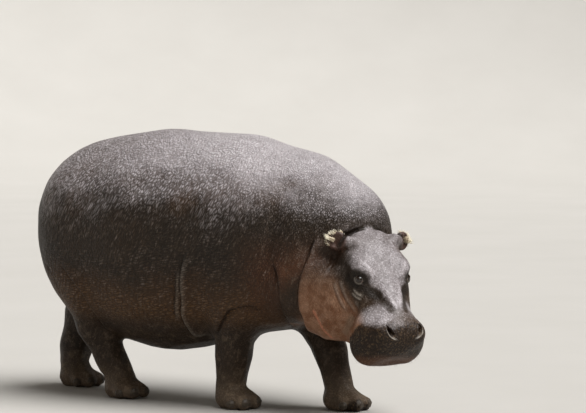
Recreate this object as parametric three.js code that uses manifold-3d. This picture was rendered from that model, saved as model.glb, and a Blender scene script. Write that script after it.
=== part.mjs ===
// A pygmy hippopotamus, life size, standing mid-stride with its head low and turned to its right.
// Millimetres, +Z up, +X the way the body faces, +Y its left. The origin is under the middle of the
// bounding box, on the floor.
//
// The body is one field: a number at every point, negative inside the flesh and about the distance to
// the skin. Muscles, folds and toes are named ellipsoids and tapers, melted together. The field is
// turned into facets and parted with thin flat cuts into trunk, neck, head, legs and feet.
import * as THREE from "three";
import { mergeVertices } from "three/addons/utils/BufferGeometryUtils.js";
import { MeshoptSimplifier } from "three/addons/libs/meshopt_simplifier.module.js";
import { edgeTable, triTable } from "three/addons/objects/MarchingCubes.js";
import Module from "manifold-3d";

const wasm = await Module();
wasm.setup();
await MeshoptSimplifier.ready;

// ---- Driving dimensions ---------------------------------------------------------------------------

const BACK_HEIGHT = 820; // highest point of the back
const BELLY_HEIGHT = 150; // lowest point of the belly
const BELLY_HALF_WIDTH = 285;
const TRACK = 76; // each foot's distance from the middle plane, as the feet pass close together
const HEAD = { at: [660, -50, 566], yaw: -25.5, pitch: 50 }; // poll of the skull, and where the nose points
const CUT = 0.5; // thickness of each flat parting cut
const FOLD = 4; // space where one rounded part lies in a hollow of the next
const SEAT = 0.3; // space round each eye and nail in its socket

// The grid each region is faceted on, and the triangles its surface is then reduced to.
const DETAIL = {
  trunk: { cell: 24, triangles: 1700 },
  neck: { cell: 18, triangles: 1350 },
  head: { cell: 8, triangles: 1000 },
  muzzle: { cell: 7, triangles: 1500 },
  ear: { cell: 4, triangles: 260 },
  leg: { cell: 12, triangles: 320 },
  foot: { cell: 7, triangles: 190 },
  tail: { cell: 7, triangles: 160 },
};

// ---- Fields ---------------------------------------------------------------------------------------

const degrees = THREE.MathUtils.degToRad;

// An ellipsoid, turned by [about x, about y, about z] in degrees.
function ellipsoid([cx, cy, cz], [rx, ry, rz], turn = [0, 0, 0]) {
  const e = new THREE.Matrix4()
    .makeRotationFromEuler(new THREE.Euler(...turn.map(degrees), "ZYX"))
    .transpose().elements;
  return (x, y, z) => {
    const dx = x - cx;
    const dy = y - cy;
    const dz = z - cz;
    const px = (e[0] * dx + e[4] * dy + e[8] * dz) / rx;
    const py = (e[1] * dx + e[5] * dy + e[9] * dz) / ry;
    const pz = (e[2] * dx + e[6] * dy + e[10] * dz) / rz;
    const reach = Math.hypot(px, py, pz);
    const slope = Math.hypot(px / rx, py / ry, pz / rz);
    return slope > 0 ? (reach * (reach - 1)) / slope : -Math.min(rx, ry, rz);
  };
}

// A rod with round ends whose radius runs from ra at a to rb at b.
function taper([ax, ay, az], [bx, by, bz], ra, rb) {
  const lx = bx - ax;
  const ly = by - ay;
  const lz = bz - az;
  const long = lx * lx + ly * ly + lz * lz;
  return (x, y, z) => {
    const share = ((x - ax) * lx + (y - ay) * ly + (z - az) * lz) / long;
    const t = Math.min(1, Math.max(0, share));
    const off = Math.hypot(x - ax - t * lx, y - ay - t * ly, z - az - t * lz);
    return off - ra - (rb - ra) * t;
  };
}

// The union of fields, melted together where their surfaces lie within blend of each other.
function melted(blend, ...fields) {
  return (x, y, z) => {
    let nearest = fields[0](x, y, z);
    for (let i = 1; i < fields.length; i++) {
      const other = fields[i](x, y, z);
      const overlap = Math.max(blend - Math.abs(nearest - other), 0) / blend;
      nearest = Math.min(nearest, other) - (overlap * overlap * blend) / 4;
    }
    return nearest;
  };
}

// field with the cutters pressed out of it, their rims rounded over blend.
function pressed(blend, field, ...cutters) {
  const cutter = melted(blend, ...cutters);
  return (x, y, z) => {
    const solid = field(x, y, z);
    const hollow = -cutter(x, y, z);
    const overlap = Math.max(blend - Math.abs(solid - hollow), 0) / blend;
    return Math.max(solid, hollow) + (overlap * overlap * blend) / 4;
  };
}

// field moved from its own frame to where matrix puts it.
function placed(matrix, field) {
  const e = matrix.clone().invert().elements;
  return (x, y, z) =>
    field(
      e[0] * x + e[4] * y + e[8] * z + e[12],
      e[1] * x + e[5] * y + e[9] * z + e[13],
      e[2] * x + e[6] * y + e[10] * z + e[14],
    );
}

const bothSides = (make) => [1, -1].map(make);

// ---- Trunk and neck -------------------------------------------------------------------------------

const bellyMiddle = (BACK_HEIGHT + BELLY_HEIGHT) / 2;
const trunkField = melted(
  70,
  ellipsoid([-95, 0, bellyMiddle], [400, BELLY_HALF_WIDTH, (BACK_HEIGHT - BELLY_HEIGHT) / 2]),
  ellipsoid([-325, 0, 540], [246, 242, 240]), // rump
  ellipsoid([170, 0, 510], [290, 250, 300]), // ribs and shoulders
  ellipsoid([370, -10, 505], [210, 205, 262], [0, 14, -4]), // base of the neck
  ...bothSides((side) => ellipsoid([-328, side * 130, 440], [152, 100, 184])), // thighs
  ...bothSides((side) => ellipsoid([270, side * 140, 470], [130, 90, 215], [0, 8, 0])), // shoulders
);

const neckField = melted(
  14,
  ellipsoid([486, 14, 488], [170, 166, 205], [0, 24, -14]), // the neck itself
  ellipsoid([500, -62, 385], [120, 140, 135], [0, 20, -20]), // throat roll
);
const NECK_START = { at: [425, 0, 290], ahead: [1, -0.05, 0.15] }; // the plane it starts at

const tailField = melted(
  12,
  taper([-528, 0, 612], [-570, 0, 535], 32, 22),
  taper([-570, 0, 535], [-586, 0, 440], 22, 12),
  ellipsoid([-587, 0, 425], [9, 15, 34]), // flat tip
);

// ---- Head -----------------------------------------------------------------------------------------
// Its own frame has the poll at the origin, +X along the skull to the nose, +Z out of the forehead.

const headMatrix = new THREE.Matrix4()
  .makeTranslation(...HEAD.at)
  .multiply(new THREE.Matrix4().makeRotationZ(degrees(HEAD.yaw)))
  .multiply(new THREE.Matrix4().makeRotationY(degrees(HEAD.pitch)));

const EYE = { at: [160, 75, -52], radius: 14 };
const LIDS = { at: [164, 84, -46], radii: [14, 12, 9], turn: [0, 25, -20] }; // the opening between them
const NOSTRIL = { at: [356, 43, -48], radii: [10, 7, 14], turn: [25, 30, 0] };
const EAR = { at: [44, 80, -32], start: 4, faces: [0.64, 0.3, 0.7] };
// Which way each ear points, in its own side's axes. The left one hangs lower.
const earAlong = (side) => (side > 0 ? [-0.22, 0.85, -0.44] : [-0.42, 0.85, -0.28]);
const HEAD_START = 0; // where the head is parted from the neck behind it
const FACE_END = 238; // where the muzzle is parted from the head
const MOUTH = { at: [300, 0, -192], down: [-0.08, 0, -1], back: 128 }; // the line between the lips

// A place on one side of the head, turned by [about x, about y, about z] in degrees. The left side is
// as given, and the right side is its mirror image.
function onSide(side, [x, y, z], [turnX, turnY, turnZ] = [0, 0, 0]) {
  const turn = new THREE.Euler(degrees(side * turnX), degrees(turnY), degrees(side * turnZ));
  return new THREE.Matrix4().makeRotationFromEuler(turn).setPosition(x, side * y, z);
}

const skullField = melted(
  30,
  ellipsoid([70, 0, -85], [100, 96, 82]), // cranium
  taper([120, 0, -74], [322, 0, -84], 58, 50), // bridge of the nose
  ellipsoid([205, 0, -122], [118, 74, 66]), // middle of the face
  ...bothSides((side) => ellipsoid([137, side * 63, -46], [46, 33, 33])), // brows
  ...bothSides((side) => ellipsoid([170, side * 52, -108], [84, 42, 50])), // cheekbones
);

const cheekField = melted(
  30,
  ...bothSides((side) => ellipsoid([104, side * 76, -218], [128, 85, 122], [0, -15, 0])),
  ellipsoid([85, 0, -210], [118, 100, 118]),
);

const muzzleField = melted(
  24,
  ellipsoid([322, 0, -114], [60, 90, 64]),
  ...bothSides((side) => ellipsoid([306, side * 54, -148], [68, 54, 72], [0, -10, side * 8])), // lips
  ...bothSides((side) => ellipsoid([338, side * 48, -72], [34, 30, 30])), // round the nostrils
);

const jawField = melted(
  30,
  ...bothSides((side) => taper([130, side * 45, -226], [262, side * 24, -202], 66, 43)),
  ellipsoid([310, 0, -190], [50, 66, 44]), // chin
);

const earMatrix = (side) => {
  const flip = ([x, y, z]) => new THREE.Vector3(x, side * y, z);
  const along = flip(earAlong(side)).normalize();
  const across = flip(EAR.faces).cross(along).normalize();
  const faces = along.clone().cross(across);
  return headMatrix
    .clone()
    .multiply(new THREE.Matrix4().makeBasis(along, across, faces).setPosition(flip(EAR.at)));
};
const earField = (side) =>
  placed(
    earMatrix(side),
    melted(
      10,
      pressed(4, ellipsoid([30, 0, 0], [32, 28, 14]), ellipsoid([34, 0, 14], [26, 22, 16])), // cup
      taper([-14, 0, -2], [14, 0, 0], 21, 15), // root
    ),
  );

const headField = melted(
  8,
  placed(
    headMatrix,
    melted(34, skullField, cheekField, jawField, muzzleField),
  ),
  ...bothSides((side) => placed(earMatrix(side), taper([-14, 0, -2], [8, 0, 0], 21, 16))),
);

// ---- Legs and feet --------------------------------------------------------------------------------

// Each leg is a chain of joints from the body down to the fetlock, [point, radius] each.
// heading is where the toes point, in degrees from +X towards +Y. top is the plane that parts it from
// the body, by a point's x and height and its slope along x, and reach the x it lies between.
const LEGS = {
  foreleg_right: {
    foot: "forefoot_right",
    side: -1,
    heading: -8,
    top: { x: 190, height: 204, slope: 0 },
    reach: [112, 330],
    joints: [
      [[255, -128, 400], 98],
      [[226, -118, 285], 72],
      [[192, -88, 160], 51],
      [[172, -TRACK, 72], 45],
    ],
  },
  foreleg_left: {
    foot: "forefoot_left",
    side: 1,
    heading: 2,
    top: { x: 380, height: 226, slope: 0 },
    reach: [270, 600],
    joints: [
      [[300, 115, 400], 98],
      [[338, 108, 290], 70],
      [[418, 86, 168], 47],
      [[455, TRACK, 76], 43],
    ],
  },
  hindleg_right: {
    foot: "hindfoot_right",
    side: -1,
    heading: -6,
    top: { x: -330, height: 192, slope: -0.36 },
    reach: [-460, -120],
    joints: [
      [[-305, -125, 360], 112],
      [[-324, -108, 220], 54],
      [[-282, -84, 120], 44],
      [[-262, -TRACK + 8, 70], 45],
    ],
  },
  hindleg_left: {
    foot: "hindfoot_left",
    side: 1,
    heading: 4,
    top: { x: -545, height: 225, slope: 0 },
    reach: [-680, -420],
    joints: [
      [[-420, 120, 380], 120],
      [[-540, 100, 235], 60],
      [[-562, 84, 130], 49],
      [[-566, TRACK, 70], 45],
    ],
  },
};
const ANKLE_HEIGHT = 74;

const TOES = [
  { angle: 52, reach: 52, height: 18, radius: 19 },
  { angle: 18, reach: 70, height: 21, radius: 23 },
  { angle: -18, reach: 70, height: 21, radius: 23 },
  { angle: -52, reach: 52, height: 18, radius: 19 },
];
const NAIL = { forward: 9, radii: [13, 16, 16], tilt: 16, facets: [7, 4] };

function footMatrix({ heading, joints }) {
  const [[x, y]] = joints.at(-1);
  return new THREE.Matrix4()
    .makeTranslation(x, y, 0)
    .multiply(new THREE.Matrix4().makeRotationZ(degrees(heading)));
}

function toeTip({ angle, reach, height }, further = 0) {
  const out = reach + further;
  return [10 + out * Math.cos(degrees(angle)), out * Math.sin(degrees(angle)), height];
}

function nailMatrix(leg, toe) {
  return footMatrix(leg)
    .multiply(new THREE.Matrix4().makeTranslation(...toeTip(toe, NAIL.forward)))
    .multiply(new THREE.Matrix4().makeRotationZ(degrees(toe.angle)))
    .multiply(new THREE.Matrix4().makeRotationY(degrees(NAIL.tilt)));
}

function legField(leg) {
  const { joints } = leg;
  const bones = joints.slice(1).map(([end, radius], i) => {
    const [start, startRadius] = joints[i];
    return taper(start, end, startRadius, radius);
  });
  const foot = melted(
    12,
    ellipsoid([2, 0, 30], [50, 50, 44]), // heel and pad
    ...TOES.map((toe) => taper([6, 0, 48], toeTip(toe), 30, toe.radius)),
  );
  return melted(16, melted(24, ...bones), placed(footMatrix(leg), foot));
}

// Everything but the head and tail.
const torsoField = melted(
  34,
  melted(40, trunkField, neckField),
  ...Object.values(LEGS).map(legField),
);

// ---- From field to facets -------------------------------------------------------------------------

const CORNERS = [
  [0, 0, 0],
  [1, 0, 0],
  [1, 1, 0],
  [0, 1, 0],
  [0, 0, 1],
  [1, 0, 1],
  [1, 1, 1],
  [0, 1, 1],
];
// Each cube edge as the corner it starts at and the axis it runs along.
const EDGES = [
  [0, 0],
  [1, 1],
  [3, 0],
  [0, 1],
  [4, 0],
  [5, 1],
  [7, 0],
  [4, 1],
  [0, 2],
  [1, 2],
  [2, 2],
  [3, 2],
];

// The field's surface inside box, by marching cubes: vertex places and triangles. Where the surface
// leaves the box, it is capped just inside it.
function facetsOf(field, box, cell) {
  const n = box.getSize(new THREE.Vector3()).toArray().map((side) => Math.ceil(side / cell) + 1);
  const start = box.min.toArray();
  const steps = [1, n[0], n[0] * n[1]];
  const place = (corner) => corner.map((index, axis) => start[axis] + index * cell);
  const indexOf = ([i, j, k]) => i + j * steps[1] + k * steps[2];

  const values = new Float64Array(n[0] * n[1] * n[2]);
  forEachIndex(n, (corner) => {
    const rim = corner.some((index, axis) => index === 0 || index === n[axis] - 1);
    const value = field(...place(corner));
    values[indexOf(corner)] = rim ? Math.max(value, cell / 2) : value || 1e-6;
  });

  const points = [];
  const triangles = [];
  const known = new Map();
  // The point where the surface crosses one cube edge, shared by all the cubes round it.
  function crossing(cube, edge) {
    const [first, axis] = EDGES[edge];
    const corner = cube.map((index, i) => index + CORNERS[first][i]);
    const from = indexOf(corner);
    const key = from * 3 + axis;
    if (!known.has(key)) {
      const a = values[from];
      const b = values[from + steps[axis]];
      const point = place(corner);
      point[axis] += cell * THREE.MathUtils.clamp(a / (a - b), 0.02, 0.98);
      known.set(key, points.length / 3);
      points.push(...point);
    }
    return known.get(key);
  }
  forEachIndex(n.map((count) => count - 1), (cube) => {
    const at = indexOf(cube);
    const inside = CORNERS.reduce((bits, corner, i) => {
      return values[at + indexOf(corner)] < 0 ? bits | (1 << i) : bits;
    }, 0);
    if (edgeTable[inside] === 0) return;
    // The table winds its triangles to face the lower values, so their order is turned round.
    for (let t = inside * 16; triTable[t] >= 0; t += 3) {
      for (const i of [0, 2, 1]) triangles.push(crossing(cube, triTable[t + i]));
    }
  });
  return [new Float32Array(points), new Uint32Array(triangles)];
}

function forEachIndex([ni, nj, nk], visit) {
  for (let k = 0; k < nk; k++) {
    for (let j = 0; j < nj; j++) {
      for (let i = 0; i < ni; i++) visit([i, j, k]);
    }
  }
}

// The field inside box as a closed solid of about the wanted number of triangles.
function solidOf(field, box, { cell, triangles: wanted }) {
  const [places, triangles] = facetsOf(field, box, cell);
  const [reduced] = MeshoptSimplifier.simplify(triangles, places, 3, wanted * 3, 1);
  return largest(solidFromTriangles(places, reduced));
}

// A closed solid from those of the vertex places that its triangles use.
function solidFromTriangles(places, triangles) {
  const kept = new Map();
  const used = [];
  const triVerts = Uint32Array.from(triangles, (vertex) => {
    if (!kept.has(vertex)) {
      kept.set(vertex, kept.size);
      used.push(...places.subarray(vertex * 3, vertex * 3 + 3));
    }
    return kept.get(vertex);
  });
  return new wasm.Manifold(
    new wasm.Mesh({ numProp: 3, vertProperties: new Float32Array(used), triVerts }),
  );
}

// The biggest body of a solid, as a cut can leave crumbs.
const largest = (solid) =>
  solid.decompose().reduce((a, b) => (Math.abs(b.volume()) > Math.abs(a.volume()) ? b : a));

// A three.js geometry as a solid for joining and cutting.
function solidFrom(geometry, matrix = new THREE.Matrix4()) {
  const bare = geometry.clone().applyMatrix4(matrix);
  bare.deleteAttribute("normal");
  bare.deleteAttribute("uv");
  const merged = mergeVertices(bare, 1e-3);
  return new wasm.Manifold(
    new wasm.Mesh({
      numProp: 3,
      vertProperties: merged.attributes.position.array,
      triVerts: new Uint32Array(merged.index.array),
    }),
  );
}

function geometryOf(solid) {
  const mesh = solid.getMesh();
  return new THREE.BufferGeometry()
    .setAttribute("position", new THREE.BufferAttribute(mesh.vertProperties, 3))
    .setIndex(new THREE.BufferAttribute(mesh.triVerts, 1))
    .toNonIndexed();
}

const box3 = (low, high) => new THREE.Box3(new THREE.Vector3(...low), new THREE.Vector3(...high));
const grown = (field, by) => (x, y, z) => field(x, y, z) - by;

// ---- Cuts -----------------------------------------------------------------------------------------

const FAR = 3000;

// Everything beyond a plane: a big block whose near face has the given point and points along normal.
function beyond(point, normal, gap = 0) {
  const away = new THREE.Vector3(...normal).normalize();
  const turn = new THREE.Quaternion().setFromUnitVectors(new THREE.Vector3(1, 0, 0), away);
  const middle = new THREE.Vector3(...point).addScaledVector(away, FAR / 2 + gap);
  const matrix = new THREE.Matrix4().compose(middle, turn, new THREE.Vector3(1, 1, 1));
  return solidFrom(new THREE.BoxGeometry(FAR, FAR, FAR), matrix);
}

function block(low, high, matrix) {
  const box = box3(low, high);
  const size = box.getSize(new THREE.Vector3());
  const { x, y, z } = box.getCenter(new THREE.Vector3());
  return solidFrom(new THREE.BoxGeometry(...size.toArray()).translate(x, y, z), matrix);
}

// A ball stretched to radii, placed by matrix and made larger by space.
function ball(matrix, radii, [columns, rows], space = 0) {
  const geometry = new THREE.SphereGeometry(1, columns, rows);
  return solidFrom(geometry.scale(...radii.map((r) => r + space)), matrix);
}

const belowFloor = beyond([0, 0, 0], [0, 0, -1]);
const headPoint = (point) => new THREE.Vector3(...point).applyMatrix4(headMatrix).toArray();
const headDirection = (direction) =>
  new THREE.Vector3(...direction).transformDirection(headMatrix).toArray();

// ---- Nodes ----------------------------------------------------------------------------------------

const SKIN = { color: 0x4a3f3c, roughness: 0.5, metalness: 0 };
const NAIL_HORN = { color: 0x2b2523, roughness: 0.4, metalness: 0 };
const EYE_SURFACE = { color: 0x1a100c, roughness: 0.1, metalness: 0 };

const group = new THREE.Group();
function add(name, solid, look = SKIN) {
  const mesh = new THREE.Mesh(geometryOf(largest(solid)), new THREE.MeshStandardMaterial(look));
  mesh.name = name;
  group.add(mesh);
}

const sides = { left: 1, right: -1 };

// The space each leg is parted into, made larger by gap.
function legRegion({ side, top, reach }, gap = 0) {
  const [inner, outer] = [2 - gap, 400];
  const [low, high] = side > 0 ? [inner, outer] : [-outer, -inner];
  const space = block([reach[0] - gap, low, -60], [reach[1] + gap, high, 500]);
  return space.intersect(beyond([top.x, 0, top.height], [top.slope, 0, -1], -gap));
}

function addLeg(name, leg) {
  const [[x, y]] = leg.joints.at(-1);
  const ankle = [0, 0, ANKLE_HEIGHT];
  const [low, high] = leg.side > 0 ? [0, 320] : [-320, 0];
  const legBox = box3([leg.reach[0], low, 20], [leg.reach[1], high, 330]);
  const shank = solidOf(torsoField, legBox, DETAIL.leg).intersect(legRegion(leg));
  add(name, shank.intersect(beyond(ankle, [0, 0, 1])));

  const footBox = box3([x - 90, y - 110, -30], [x + 150, y + 110, 130]);
  let foot = solidOf(torsoField, footBox, DETAIL.foot)
    .intersect(beyond(ankle, [0, 0, -1], CUT))
    .subtract(belowFloor);
  TOES.forEach((toe, i) => {
    const matrix = nailMatrix(leg, toe);
    const radii = NAIL.radii.map((r) => (r * toe.radius) / 23);
    foot = foot.subtract(ball(matrix, radii, NAIL.facets, SEAT));
    const nail = ball(matrix, radii, NAIL.facets).subtract(belowFloor);
    add(`nail_${leg.foot}_${i + 1}`, nail, NAIL_HORN);
  });
  add(leg.foot, foot);
}

// Adds the ear and gives back the space it stands in.
function addEar(name, side) {
  const matrix = earMatrix(side);
  const middle = new THREE.Vector3(30, 0, 0).applyMatrix4(matrix).toArray();
  const region = box3(middle.map((c) => c - 60), middle.map((c) => c + 60));
  const beyondRoot = (field, start) =>
    solidOf(field, region, DETAIL.ear).intersect(block([start, -60, -60], [120, 60, 60], matrix));
  add(name, beyondRoot(earField(side), EAR.start));
  return beyondRoot(grown(earField(side), FOLD), EAR.start - CUT);
}

// Adds the eye and gives back its socket, with the opening between the lids.
function addEye(name, side) {
  const eye = headMatrix.clone().multiply(onSide(side, EYE.at));
  const radii = [EYE.radius, EYE.radius, EYE.radius];
  add(name, ball(eye, radii, [14, 8]), EYE_SURFACE);
  const lids = headMatrix.clone().multiply(onSide(side, LIDS.at, LIDS.turn));
  return ball(eye, radii, [14, 8], SEAT).add(ball(lids, LIDS.radii, [10, 6]));
}

// The head lies in a hollow of the neck. It is parted at the muzzle and along the mouth.
const headRegion = new THREE.Box3()
  .setFromArray([-60, -190, -350, 400, 190, 30])
  .applyMatrix4(headMatrix);
const inFront = (x, gap = 0) => beyond(headPoint([x, 0, 0]), headDirection([1, 0, 0]), gap);
const underMouth = (gap) =>
  beyond(headPoint(MOUTH.at), headDirection(MOUTH.down), gap).intersect(inFront(MOUTH.back, gap));

function addHead() {
  let head = solidOf(headField, headRegion, DETAIL.head).intersect(inFront(HEAD_START, CUT));
  for (const [name, side] of Object.entries(sides)) {
    head = head.subtract(addEar(`ear_${name}`, side)).subtract(addEye(`eye_${name}`, side));
  }
  add("head", head.subtract(inFront(FACE_END)).subtract(underMouth(0)));

  let muzzle = solidOf(headField, headRegion, DETAIL.muzzle);
  add("lower_jaw", muzzle.intersect(underMouth(CUT)));
  for (const side of Object.values(sides)) muzzle = muzzle.subtract(nostril(side));
  add("muzzle", muzzle.intersect(inFront(FACE_END, CUT)).subtract(underMouth(0)));
}

const nostril = (side) =>
  ball(headMatrix.clone().multiply(onSide(side, NOSTRIL.at, NOSTRIL.turn)), NOSTRIL.radii, [10, 6]);

function addBody() {
  const region = box3([-660, -330, -40], [760, 330, 870]);
  const headHollow = solidOf(grown(headField, FOLD), headRegion, DETAIL.head);
  const legs = Object.values(LEGS)
    .map((leg) => legRegion(leg, CUT))
    .reduce((all, one) => all.add(one));
  const ahead = (gap) => beyond(NECK_START.at, NECK_START.ahead, gap);
  const neck = solidOf(torsoField, region, DETAIL.neck).intersect(ahead(CUT));
  add("neck", neck.subtract(legs).subtract(headHollow.intersect(inFront(HEAD_START))));
  const trunk = solidOf(torsoField, region, DETAIL.trunk);
  add("trunk", trunk.subtract(ahead(0)).subtract(legs));

  const rump = box3([-660, -90, 380], [-440, 90, 700]);
  const behind = solidOf(grown(torsoField, FOLD), rump, DETAIL.leg);
  add("tail", solidOf(tailField, rump, DETAIL.tail).subtract(behind));
}

addBody();
addHead();
for (const [name, leg] of Object.entries(LEGS)) addLeg(name, leg);

// The frame's origin is under the middle of the bounding box.
const middle = new THREE.Box3().setFromObject(group).getCenter(new THREE.Vector3());
group.position.set(-middle.x, -middle.y, 0);

export default group;
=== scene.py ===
"""The looks of a life-size pygmy hippopotamus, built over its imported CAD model.

One skin mesh stands for all the flesh nodes, with the folds, lids, nostrils and mouth sculpted into
it. The eyes, nails and bristles are pieces of their own. Everything is in metres, in the row frame:
+X ahead of the body, +Y its left, +Z up.
"""

import itertools
import math

import bmesh
import bpy
import numpy as np
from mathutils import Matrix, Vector
from mathutils.bvhtree import BVHTree


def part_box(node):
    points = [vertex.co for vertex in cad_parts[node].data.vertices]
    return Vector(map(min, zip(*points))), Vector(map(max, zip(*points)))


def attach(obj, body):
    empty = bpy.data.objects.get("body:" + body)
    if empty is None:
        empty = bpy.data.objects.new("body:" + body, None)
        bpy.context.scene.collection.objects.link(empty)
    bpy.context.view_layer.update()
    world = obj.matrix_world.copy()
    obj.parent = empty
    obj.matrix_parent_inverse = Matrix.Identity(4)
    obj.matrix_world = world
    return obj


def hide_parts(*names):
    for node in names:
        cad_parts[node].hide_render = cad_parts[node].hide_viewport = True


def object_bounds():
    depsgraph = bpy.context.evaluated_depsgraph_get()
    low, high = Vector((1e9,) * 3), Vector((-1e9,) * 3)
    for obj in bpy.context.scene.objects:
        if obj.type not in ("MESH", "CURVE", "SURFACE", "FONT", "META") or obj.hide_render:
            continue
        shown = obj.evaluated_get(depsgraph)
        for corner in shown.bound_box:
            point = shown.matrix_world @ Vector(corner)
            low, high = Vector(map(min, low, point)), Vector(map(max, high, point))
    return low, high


MM = 0.001

SIDES = {"left": 1, "right": -1}
LEGS = [f"{end}{part}_{side}" for end in ("fore", "hind") for part in ("leg", "foot") for side in SIDES]
BODY_NODES = ["trunk", "neck", "tail", *LEGS]
EYE_NODES = ["eye_left", "eye_right"]
HEAD_NODES = ["head", "muzzle", "lower_jaw", "ear_left", "ear_right"]

# The parting cuts between the CAD's flesh nodes are up to this wide.
CUT = 4 * MM

# The voxels that the body, the face and then the whole skin are remeshed with.
BODY_VOXEL, FACE_VOXEL, SKIN_VOXEL = 4.5 * MM, 2.5 * MM, 3.5 * MM
SKIN_TRIANGLES = 190_000

# The head's own axes start at the crown: the eyes lie this far along them and this far below them.
EYES_AHEAD, EYES_BELOW = 160 * MM, 52 * MM
# How steeply the face slopes down.
FACE_SLOPE = math.radians(50)
# Where the lips meet on the axis that points off the forehead.
LIPS_OFF = -188 * MM

# Half the length of an eye's opening and its two heights, as shares of the eye's radius.
OPENING_LONG, OPENING_UP, OPENING_DOWN = 0.98, 0.7, 0.64

# Beyond this many times its width a bell curve is taken as 0.
BELL_REACH = 2.6

# Shorter than any length here. A length of 0 is raised to it before it divides.
TINY = 1e-12

# How wide a tuft's patch is on the map named OFBake.
PATCH = 0.003


# ---- helpers


def rise(low, high, value):
    """0 below low, 1 above high, and a smooth rise between. It falls if low is the larger."""
    t = np.clip((value - low) / (high - low), 0, 1)
    return t * t * (3 - 2 * t)


def bell(value):
    """1 at 0, falling smoothly towards 0 on both sides."""
    return np.exp(-(value**2))


def raise_to(values, chosen, least):
    """Raises the chosen values to at least these."""
    values[chosen] = np.maximum(values[chosen], least)


def lengths_of(vectors):
    return np.linalg.norm(vectors, axis=1)


def unit(vector):
    return vector / np.linalg.norm(vector)


def square(vector, other):
    """A unit vector square to another, turned as near to the first as that lets it."""
    return unit(vector - other * (vector @ other))


def new_object(name, mesh):
    made = bpy.data.objects.new(name, mesh)
    bpy.context.scene.collection.objects.link(made)
    return made


def mesh_of(whole, name):
    mesh = bpy.data.meshes.new(name)
    whole.to_mesh(mesh)
    whole.free()
    return mesh


def points_of(mesh):
    found = np.empty(len(mesh.vertices) * 3)
    mesh.vertices.foreach_get("co", found)
    return found.reshape(-1, 3)


def normals_of(mesh):
    found = np.empty(len(mesh.vertices) * 3)
    mesh.vertex_normals.foreach_get("vector", found)
    return found.reshape(-1, 3)


def place_points(mesh, points):
    mesh.vertices.foreach_set("co", points.ravel())
    mesh.update()


def attribute(mesh, name, values):
    """Keeps one number for each vertex, for the materials to read."""
    layer = mesh.attributes.new(name, "FLOAT", "POINT")
    layer.data.foreach_set("value", np.asarray(values, dtype=np.float32))


def modified(made, kind, **settings):
    """Applies one modifier to an object's mesh."""
    modifier = made.modifiers.new(kind, kind)
    for key, value in settings.items():
        setattr(modifier, key, value)
    evaluated = made.evaluated_get(bpy.context.evaluated_depsgraph_get())
    mesh = bpy.data.meshes.new_from_object(evaluated)
    made.modifiers.clear()
    old, made.data = made.data, mesh
    bpy.data.meshes.remove(old)
    return made


def remeshed(made, size):
    return modified(made, "REMESH", mode="VOXEL", voxel_size=size, adaptivity=0.0)


def smoothed(made, rounds, shares=None, digits=2):
    """Smooths an object's mesh, all over or by each vertex's share, rounded to so many digits."""
    settings = {"factor": 0.5, "iterations": rounds}
    if shares is not None:
        group = made.vertex_groups.new(name="share")
        steps = np.round(shares, digits)
        for step in np.unique(steps):
            group.add(np.nonzero(steps == step)[0].tolist(), float(step), "REPLACE")
        settings["vertex_group"] = group.name
    modified(made, "SMOOTH", **settings)
    made.vertex_groups.clear()


def eased(made, rounds, shares):
    """Smooths ripples away but keeps the broad form: two passes, with the second's loss added back."""
    smoothed(made, rounds, shares)
    once = points_of(made.data)
    smoothed(made, rounds, shares)
    twice = points_of(made.data)
    place_points(made.data, 2 * once - twice)


def value_noise(points, size, seed):
    """Smooth noise from -1 to 1 whose lumps are about size apart."""
    scaled = points / size + 31.7 * seed
    cell = np.floor(scaled).astype(np.int64)
    part = scaled - cell
    part = part * part * (3 - 2 * part)
    total = np.zeros(len(points))
    for corner in itertools.product((0, 1), repeat=3):
        # The corner's three whole numbers are scrambled into one of 16 bits, its random value.
        x, y, z = (cell + corner).T.astype(np.uint64)
        mixed = x * 73856093 ^ y * 19349663 ^ z * 83492791
        mixed = (mixed ^ (mixed >> 13)) * 1274126177 & 0xFFFFFFFF
        mixed = (mixed ^ (mixed >> 16)) & 0xFFFF
        weight = np.prod(np.where(corner, part, 1 - part), axis=1)
        total += weight * (mixed / 32767.5 - 1)
    return total


def merged(name, meshes):
    """An object with several meshes side by side in one, in place of them."""
    whole = bmesh.new()
    for mesh in meshes:
        whole.from_mesh(mesh)
        bpy.data.meshes.remove(mesh)
    return new_object(name, mesh_of(whole, name))


def joined_nodes(name, nodes, swell):
    """One object of several CAD solids, each swollen a little so that the cuts between them close."""
    meshes = []
    for node in nodes:
        one = bmesh.new()
        one.from_mesh(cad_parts[node].data)
        bmesh.ops.remove_doubles(one, verts=one.verts, dist=0.01 * MM)
        one.normal_update()
        moves = [v.normal * min(v.calc_shell_factor(), 1.2) * swell for v in one.verts]
        for vert, move in zip(one.verts, moves):
            vert.co += move
        meshes.append(mesh_of(one, node))
    return merged(name, meshes)


def centre_of(node):
    low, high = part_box(node)
    return np.array((low + high) / 2)


def corners_of(node):
    return (np.array(corner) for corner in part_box(node))


class Axes:
    """Three axes and the point they start from."""

    def __init__(self, origin, axes):
        self.origin, self.axes = origin, np.array(axes)

    def local(self, points):
        return (points - self.origin) @ self.axes.T

    def world(self, points):
        return np.asarray(points) @ self.axes + self.origin

    def turn(self, vectors):
        return np.asarray(vectors) @ self.axes


def head_axes():
    """The head's own axes: x ahead along the face, y to the head's left, z off the forehead."""
    left, right = (Vector(centre_of(f"eye_{side}")) for side in SIDES)
    across = (left - right).normalized()
    up = Vector((0, 0, 1))
    level = across.cross(up)
    ahead = level * math.cos(FACE_SLOPE) - up * math.sin(FACE_SLOPE)
    off = ahead.cross(across)
    middle = np.array((left + right) / 2)
    return Axes(middle - EYES_AHEAD * np.array(ahead) + EYES_BELOW * np.array(off), [ahead, across, off])


# ---- skin: broad form


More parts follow.
